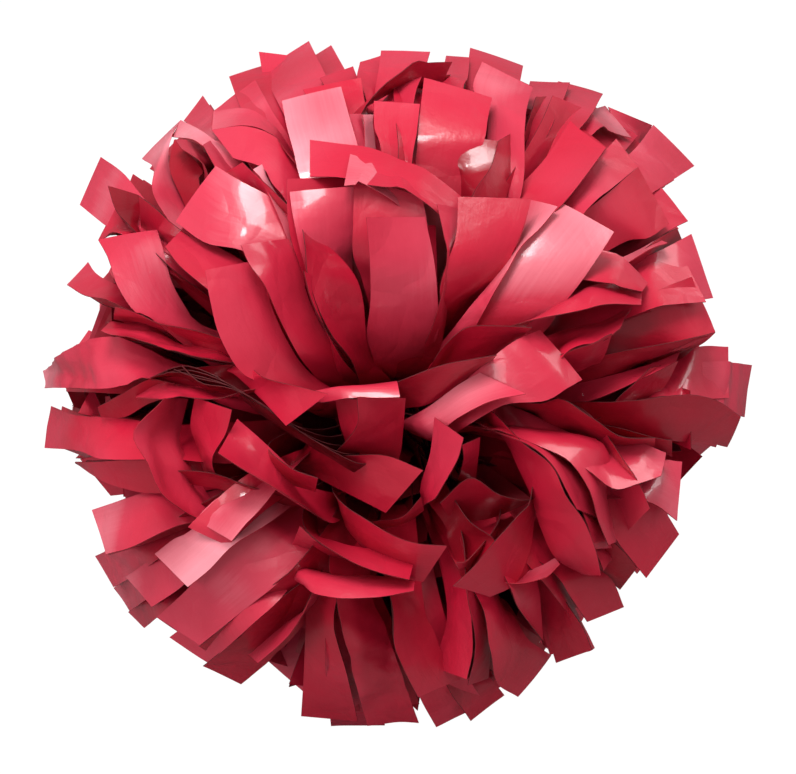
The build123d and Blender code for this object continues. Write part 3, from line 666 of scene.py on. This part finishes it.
def lay_placed_strips():
    for i, (name, tone_and_painted_light, left, right) in enumerate(placed):
        rng = np.random.default_rng(1000 + i)
        bow = BOWS.get(name, rng.uniform(-0.3, 0.6))
        if name in CRUSHED:
            crumple = 1.15
        else:
            crumple = rng.uniform(0.10, 0.32) if rng.uniform() < 0.4 else 0.04
        lay(head_of(left, right), left, right, rng, tone_and_painted_light=tone_and_painted_light, bow=bow, rows=46, cols=12,
            crinkle=0.6, crumple=crumple)


def lay_rear_copies():
    """Repeats the front head's strips on the rear head."""
    for i, (_, tone_and_painted_light, left, right) in enumerate(placed):
        if (left[0] + right[0])[1] / 2 > 4:
            continue
        rng = np.random.default_rng(3000 + i)
        left, right = tucked("rear", turned(left), turned(right), rng.uniform(0.035, 0.09))
        lay("rear", left, right, rng, tone_and_painted_light=tone_and_painted_light, bow=rng.uniform(-0.3, 0.9), rows=30, cols=7,
            crinkle=0.6)


def lay_backing():
    """Three more strips behind each placed strip near the outline, in line from the camera."""
    for i, (name, _, left, right) in enumerate(placed):
        if name.startswith("LJ") or outline_r((left[0] + right[0]) / 2)[0] < 0.74:
            continue
        for k in range(3):
            rng = np.random.default_rng(4000 + 10 * i + k)
            far = 1 + (12.0 * (k + 1) + rng.uniform(-3, 3)) / np.linalg.norm(EYE)
            back_left, back_right = EYE + (left - EYE) * far, EYE + (right - EYE) * far
            head = head_of(back_left, back_right)
            back_left, back_right = tucked(head, back_left, back_right, rng.uniform(0.012, 0.045))
            lay(head, back_left, back_right, rng, tone_and_painted_light=rng.uniform(0.9, 2.3),
                bow=rng.uniform(-0.9, 1.3), rows=24, cols=6, crinkle=0.7)


def exit_dist(hub, u):
    """Distance from the hub to the ball's surface along u."""
    q, h = u / AXES, hub / AXES
    a, b, c = q @ q, 2 * h @ q, h @ h - 1
    return (-b + math.sqrt(b * b - 4 * a * c)) / (2 * a)


def filling_edges(hub, tip, bend, lean, curl, twist):
    """Edges of a filling strip that leans towards bend on its way from tip to hub."""
    out = unit(tip - hub)
    reach = np.linalg.norm(tip - hub)
    left, right = [], []
    for t in (1.0, 0.84, 0.66, 0.46, 0.30):
        p = (hub + out * reach * t - bend * reach * lean * 0.75 * (t * (1 - t))
             + np.cross(out, bend) * reach * curl * 0.25 * t * t * (1 - t))
        run = out + bend * lean * 0.6 * (2 * t - 1)
        across = unit(np.cross(run, bend))
        angle = twist * (0.4 + t)
        normal = unit(np.cross(across, run))
        across = across * math.cos(angle) + normal * math.sin(angle)
        width = STRIP_W * (0.62 + 0.38 * min(1, (t - 0.3) / 0.3))
        left.append(p - across * width / 2)
        right.append(p + across * width / 2)
    return np.array(left), np.array(right)


def lay_filling(head, seed):
    """Stacks of two or three strips under and between the others."""
    hub, side = HEADS[head]
    to_eye = unit(EYE / AXES)
    rng = np.random.default_rng(seed)
    stacks = 280
    golden_angle = 2.399963
    # (facing below, nearest, farthest tip as parts of the ball's radius)
    tip_bands = ((0.1, 0.90, 1.01), (0.36, 0.85, 0.955), (0.6, 0.66, 0.82), (9.0, 0.50, 0.68))
    for i in range(stacks):
        cos_polar = 1 - (i + 0.5) / stacks * (1 - math.cos(math.radians(127)))
        polar = math.acos(cos_polar) + rng.normal(0, 0.05)
        azimuth = i * golden_angle + rng.normal(0, 0.12)
        lean, swirl = rng.uniform(0.10, 0.42), rng.uniform(0, 6.28)
        curl, twist = rng.uniform(-0.5, 0.5), rng.normal(0, 0.45)
        for k in range(int(rng.integers(2, 4))):
            pol = polar + k * rng.normal(0, 0.06)
            azi = azimuth + k * rng.uniform(0.03, 0.09)
            u = np.array([math.sin(pol) * math.cos(azi), side * math.cos(pol),
                          math.sin(pol) * math.sin(azi)])
            e1 = unit(np.cross(u, [0.3, 0.2, 1.0]))
            e2 = np.cross(u, e1)
            bend = e1 * math.cos(swirl) + e2 * math.sin(swirl)
            reach = exit_dist(hub, u)
            facing = unit((hub + u * reach) / AXES) @ to_eye
            near, far = next(band[1:] for band in tip_bands if facing < band[0])
            tip = hub + u * reach + bend * reach * lean
            tip = tip / np.linalg.norm(tip / AXES) * rng.uniform(near, far)
            left, right = filling_edges(hub, tip, bend, lean, curl, twist)
            left, right = tucked(head, left, right, rng.uniform(0.03, 0.10))
            # filling strips on the camera side lie deep among the others and get a dark tone,
            # painted shade; the rest get a mid tone
            tone_and_painted_light = rng.uniform(-0.5, 0.8) if facing > 0.36 else rng.uniform(1.0, 2.8)
            lay(head, left, right, rng, tone_and_painted_light=tone_and_painted_light, bow=rng.uniform(-1.5, 1.8), rows=20, cols=5,
                crinkle=0.8, tie_width=7.0)


placed = read_strips()
outline = outline_of(placed)
lay_placed_strips()
lay_rear_copies()
lay_backing()
lay_filling("front", 77)
lay_filling("rear", 78)


# ------------------------------------------------------------------ materials
class Shader:
    """Adds nodes to one node tree."""

    def __init__(self, tree):
        self.tree = tree

    def plug(self, socket, value):
        """Links a socket, or sets a plain value."""
        if isinstance(value, bpy.types.NodeSocket):
            self.tree.links.new(value, socket)
        else:
            socket.default_value = value

    def plug_all(self, node, inputs):
        for key, value in inputs.items():
            self.plug(node.inputs[key], value)

    def add(self, kind, inputs, **settings):
        node = self.tree.nodes.new("ShaderNode" + kind)
        for key, value in settings.items():
            setattr(node, key, value)
        self.plug_all(node, inputs)
        return node

    def math(self, operation, *values):
        return self.add("Math", dict(enumerate(values)), operation=operation).outputs[0]

    def place(self):
        return self.add("TexCoord", {}).outputs["Object"]

    def noise(self, scale, detail=3.0, rough=0.55):
        return self.add("TexNoise", {"Vector": self.place(), "Scale": scale, "Detail": detail,
                                     "Roughness": rough}).outputs["Fac"]

    def attribute(self, name):
        return self.add("Attribute", {}, attribute_name=name).outputs["Fac"]

    def ramp(self, factor, stops):
        node = self.add("ValToRGB", {"Fac": factor})
        elements = node.color_ramp.elements
        while len(elements) < len(stops):
            elements.new(0.5)
        for element, (position, colour) in zip(elements, stops):
            element.position = position
            element.color = (*colour, 1)
        return node.outputs["Color"]


def new_material(name):
    material = bpy.data.materials.new(name)
    material.use_nodes = True
    tree = material.node_tree
    return material, Shader(tree), tree.nodes["Principled BSDF"], tree.nodes["Material Output"]


def film_tone_and_painted_light(sh, streak):
    """Strip tone, which carries painted light and shade, with cloudy patches of film haze and
    painted sheen, painted shade towards the tie, and darker on the cut walls.
    """
    tone_and_painted_light = sh.attribute("tone_and_painted_light")
    # cloudy patches, part film haze and part painted sheen, stronger on the milky strips
    haze_and_sheen_patch = sh.math("SUBTRACT", sh.noise(27.0, detail=1.5, rough=0.4), 0.5)
    haze_and_sheen_depth = sh.math("MULTIPLY_ADD", sh.attribute("tone_and_painted_light"), 0.75, 0.5)
    tone_and_painted_light = sh.math("ADD", tone_and_painted_light, sh.math("MULTIPLY", haze_and_sheen_patch, haze_and_sheen_depth))
    own = sh.math("SUBTRACT", sh.attribute("rnd"), 0.5)
    tone_and_painted_light = sh.math("ADD", tone_and_painted_light, sh.math("MULTIPLY", own, 0.35))
    # painted shade that deepens towards the tie
    painted_tie_shade = sh.math("POWER", sh.attribute("along"), 1.7)
    tone_and_painted_light = sh.math("SUBTRACT", tone_and_painted_light, sh.math("MULTIPLY", painted_tie_shade, 2.4))
    tone_and_painted_light = sh.math("SUBTRACT", tone_and_painted_light, sh.math("MULTIPLY", sh.attribute("cut_edge"), 2.2))
    return sh.math("ADD", tone_and_painted_light, sh.math("MULTIPLY", sh.math("SUBTRACT", streak, 0.5), 0.30))


def film_bump(sh, streak):
    """Crinkled facets, fine grain and draw lines."""
    fine = sh.noise(210.0, detail=4.0, rough=0.6)
    place = sh.place()
    warp = sh.add("TexNoise", {"Vector": place, "Scale": 30.0}).outputs["Color"]
    warped = sh.add("MixRGB", {"Fac": 0.03, "Color1": place, "Color2": warp})
    cells = sh.add("TexVoronoi", {"Vector": warped.outputs["Color"], "Scale": 46.0},
                   feature="DISTANCE_TO_EDGE")
    facet = sh.math("MINIMUM", cells.outputs["Distance"], 0.22)
    grain = sh.math("MULTIPLY_ADD", fine, 0.30, sh.math("MULTIPLY", streak, 0.06))
    height = sh.math("MULTIPLY_ADD", facet, 1.6, grain)
    return sh.add("Bump", {"Strength": 0.55, "Distance": 0.0012, "Height": height})


def film_material():
    material, sh, shiny, output = new_material("red_film")
    # fine lengthwise draw lines of the film
    lines = sh.add("CombineXYZ", {"X": sh.math("MULTIPLY", sh.attribute("across"), 26.0),
                                  "Y": sh.math("MULTIPLY", sh.attribute("along"), 5.0),
                                  "Z": sh.math("MULTIPLY", sh.attribute("rnd"), 60.0)})
    streak = sh.add("TexNoise", {"Vector": lines.outputs[0], "Scale": 1.0,
                                 "Detail": 3.0}).outputs["Fac"]
    # the ramp runs from painted shade at its darkest stop, through the film's reds, to painted
    # milky sheen at its palest stop
    colour = sh.ramp(sh.math("MULTIPLY_ADD", film_tone_and_painted_light(sh, streak), 0.2, 0.1), [
        (0.00, (0.075, 0.0008, 0.0030)), (0.28, (0.320, 0.0022, 0.014)),
        (0.50, (0.500, 0.0080, 0.033)), (0.72, (0.560, 0.034, 0.070)),
        (0.96, (0.760, 0.260, 0.310))])
    rough = sh.math("MULTIPLY_ADD", sh.noise(75.0, detail=2.0), 0.24, 0.24)
    dull_cut = sh.math("MULTIPLY", sh.attribute("cut_edge"), 0.5)
    sh.plug_all(shiny, {
        "Base Color": colour,
        "Roughness": sh.math("ADD", rough, dull_cut),
        "Specular IOR Level": 0.52,
        "Coat Weight": sh.math("MULTIPLY_ADD", sh.attribute("cut_edge"), -0.5, 0.5),
        "Coat Roughness": 0.10,
        "Normal": film_bump(sh, streak).outputs["Normal"]})
    # light that comes through the film is a deeper red
    through = sh.add("MixRGB", {"Fac": 1.0, "Color1": colour, "Color2": (1.0, 0.45, 0.55, 1)},
                     blend_type="MULTIPLY")
    glow = sh.add("BsdfTranslucent", {"Color": through.outputs["Color"]})
    mix = sh.add("MixShader", {"Fac": 0.18, 1: shiny.outputs[0], 2: glow.outputs[0]})
    sh.plug(output.inputs["Surface"], mix.outputs[0])
    return material


def solid_material(name, dark, light, scale, rough, bump, metal=0.0):
    """A mottled solid; bump is its depth in metres."""
    material, sh, surface, _ = new_material(name)
    mottle = sh.noise(scale, detail=4.0)
    sh.plug_all(surface, {
        "Base Color": sh.ramp(mottle, [(0.3, dark), (0.7, light)]),
        "Roughness": sh.math("MULTIPLY_ADD", sh.noise(scale * 2.3), 0.25, rough),
        "Metallic": metal})
    node = sh.add("Bump", {"Strength": 0.5, "Distance": bump, "Height": sh.noise(scale * 6)})
    sh.plug(surface.inputs["Normal"], node.outputs["Normal"])
    return material


film = film_material()
grip = solid_material("grip_plastic", dark=(0.035, 0.035, 0.038), light=(0.055, 0.054, 0.058),
                      scale=180.0, rough=0.38, bump=0.0002)
tie = solid_material("nylon_tie", dark=(0.020, 0.020, 0.022), light=(0.040, 0.040, 0.043),
                     scale=260.0, rough=0.42, bump=0.00012)
pin = solid_material("steel_pin", dark=(0.50, 0.50, 0.52), light=(0.62, 0.62, 0.64),
                     scale=420.0, rough=0.22, bump=0.00005, metal=1.0)
PART_MATERIALS = (("plug_pin", pin), ("cable_tie", tie), ("grip_tube", grip), ("end_plug", grip))
for name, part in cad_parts.items():
    material = next((m for word, m in PART_MATERIALS if word in name), None)
    if material is not None:
        part.data.materials.clear()
        part.data.materials.append(material)


# ------------------------------------------------------------------ film pieces
def gathered_film(head, seed):
    """Pleated sleeve of film round the baton, waisted where the tie grips it."""
    hub = HEADS[head][0]
    lo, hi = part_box(head + "_film_spine")
    rng = np.random.default_rng(seed)
    pleats, rings = 42, 17
    around = 8 * pleats
    outer, inner = (hi[0] - lo[0]) * 500.0, 6.25
    half = (hi[1] - lo[1]) * 500.0
    angle = np.linspace(0, 2 * math.pi, around, endpoint=False)
    y = np.linspace(-half, half, rings)
    wobble = sum(rng.uniform(0.3, 1.0) * np.sin(q * angle + rng.uniform(0, 6.28))
                 for q in (3, 7, 12))
    pleat = np.abs(((angle * pleats / (2 * math.pi) + 0.35 * wobble) % 1.0) - 0.5) * 2
    waist = np.exp(-(y / 3.1) ** 4)[:, None]
    r = (outer - 0.12 - (1.9 - 0.25 * np.abs(y)[:, None] / half) * waist
         - 1.25 * pleat[None, :] * (1 - 0.55 * waist))
    verts = [[r[i, j] * math.cos(angle[j]), y[i], r[i, j] * math.sin(angle[j])]
             for i in range(rings) for j in range(around)]
    verts += [[inner * math.cos(a), end, inner * math.sin(a)]
              for end in (y[0], y[-1]) for a in angle]
    verts = (np.array(verts) + hub) / 1000.0
    faces = []
    for i in range(rings - 1):
        a, b = i * around, (i + 1) * around
        for j in range(around):
            k = (j + 1) % around
            faces.append([a + j, b + j, b + k, a + k])
    # end rings and bore
    last, bore_a, bore_b = (rings - 1) * around, rings * around, (rings + 1) * around
    for j in range(around):
        k = (j + 1) % around
        faces += [[j, k, bore_a + k, bore_a + j], [last + k, last + j, bore_b + j, bore_b + k],
                  [bore_a + k, bore_b + k, bore_b + j, bore_a + j]]
    name = head + "_gathered_film"
    mesh = bpy.data.meshes.new(name)
    mesh.from_pydata(verts.tolist(), [], faces)
    for key, value in (("tone_and_painted_light", 1.2), ("rnd", 0.5), ("along", 0.55), ("across", 0.0)):
        set_attribute(mesh, key, "POINT", np.full(len(verts), value))
    mesh.validate()
    mesh.update()
    add_film_object(name, mesh, "handle", head + "_film_spine")


for body in sorted(sheaves):
    sheaves[body].build(body)
gathered_film("front", 5)
gathered_film("rear", 6)

# ------------------------------------------------------------------ stage (metres)
scene = bpy.context.scene
scene.view_settings.view_transform = "Standard"
scene.view_settings.look = "None"


def add_floor():
    """White to the camera, grey to other rays and darker still in reflections."""
    material, sh, matte, output = new_material("floor")
    glow = sh.add("Emission", {"Strength": 1.08})
    rays = sh.add("LightPath", {}).outputs
    shade = sh.math("MULTIPLY_ADD", rays["Is Glossy Ray"], -0.36, 0.42)
    grey = sh.add("CombineColor", {"Red": shade, "Green": shade, "Blue": shade})
    sh.plug_all(matte, {"Base Color": grey.outputs["Color"], "Roughness": 0.9})
    seen = sh.math("MULTIPLY", rays["Is Camera Ray"], 0.93)
    mix = sh.add("MixShader", {"Fac": seen, 1: matte.outputs[0], 2: glow.outputs[0]})
    sh.plug(output.inputs["Surface"], mix.outputs[0])
    bpy.ops.mesh.primitive_plane_add(size=30.0, location=(0, 0, FLOOR / 1000.0 - 0.0005))
    floor = bpy.context.object
    floor.name = "floor"
    floor.data.materials.append(material)
    return floor


def add_world():
    """White all round: bright to the camera, dim in reflections."""
    world = bpy.data.worlds.new("studio")
    scene.world = world
    world.use_nodes = True
    nodes = world.node_tree.nodes
    sh = Shader(world.node_tree)
    ambient = nodes["Background"]
    rays = sh.add("LightPath", {}).outputs
    strength = sh.math("MULTIPLY_ADD", rays["Is Glossy Ray"], -0.57, 0.70)
    sh.plug_all(ambient, {"Color": (1, 1, 1, 1), "Strength": strength})
    backdrop = sh.add("Background", {"Color": (1, 1, 1, 1), "Strength": 1.15})
    mix = sh.add("MixShader", {"Fac": rays["Is Camera Ray"], 1: ambient.outputs[0],
                               2: backdrop.outputs[0]})
    sh.plug(nodes["World Output"].inputs["Surface"], mix.outputs[0])


def aim(obj, place):
    """Turns an object at this place to face the origin."""
    obj.rotation_euler = (-Vector(place)).to_track_quat("-Z", "Y").to_euler()


def softbox(name, place, size, watts, sheen=True):
    """A square area light; without sheen it leaves no highlights."""
    light = bpy.data.lights.new(name, "AREA")
    light.shape = "SQUARE"
    light.size = size
    light.energy = watts
    obj = bpy.data.objects.new(name, light)
    obj.location = place
    obj.visible_glossy = sheen
    aim(obj, place)
    scene.collection.objects.link(obj)
    return obj


def add_camera():
    data = bpy.data.cameras.new("camera")
    camera = bpy.data.objects.new("camera", data)
    camera.location = tuple(EYE / 1000.0)
    aim(camera, tuple(EYE))
    data.sensor_width = 36.0
    data.lens = 83.0351759
    data.shift_y = -0.002512563
    scene.collection.objects.link(camera)
    scene.camera = camera


floor = add_floor()
add_world()
lights = [
    softbox("key", place=(-0.12, -0.50, 0.98), size=0.42, watts=11.5),
    softbox("strip", place=(-0.45, -0.75, 0.85), size=0.14, watts=3.0),
    softbox("rim", place=(0.75, 0.25, 0.85), size=0.5, watts=4.0),
    softbox("side_r", place=(1.35, 0.15, 0.45), size=0.6, watts=3.2, sheen=False),
    softbox("side_l", place=(-1.35, 0.15, 0.45), size=0.6, watts=3.2, sheen=False),
    softbox("back", place=(-0.35, 1.25, 0.45), size=0.6, watts=8.0, sheen=False),
    softbox("fill", place=(-0.8, -1.0, 0.32), size=0.5, watts=5.0)]
add_camera()
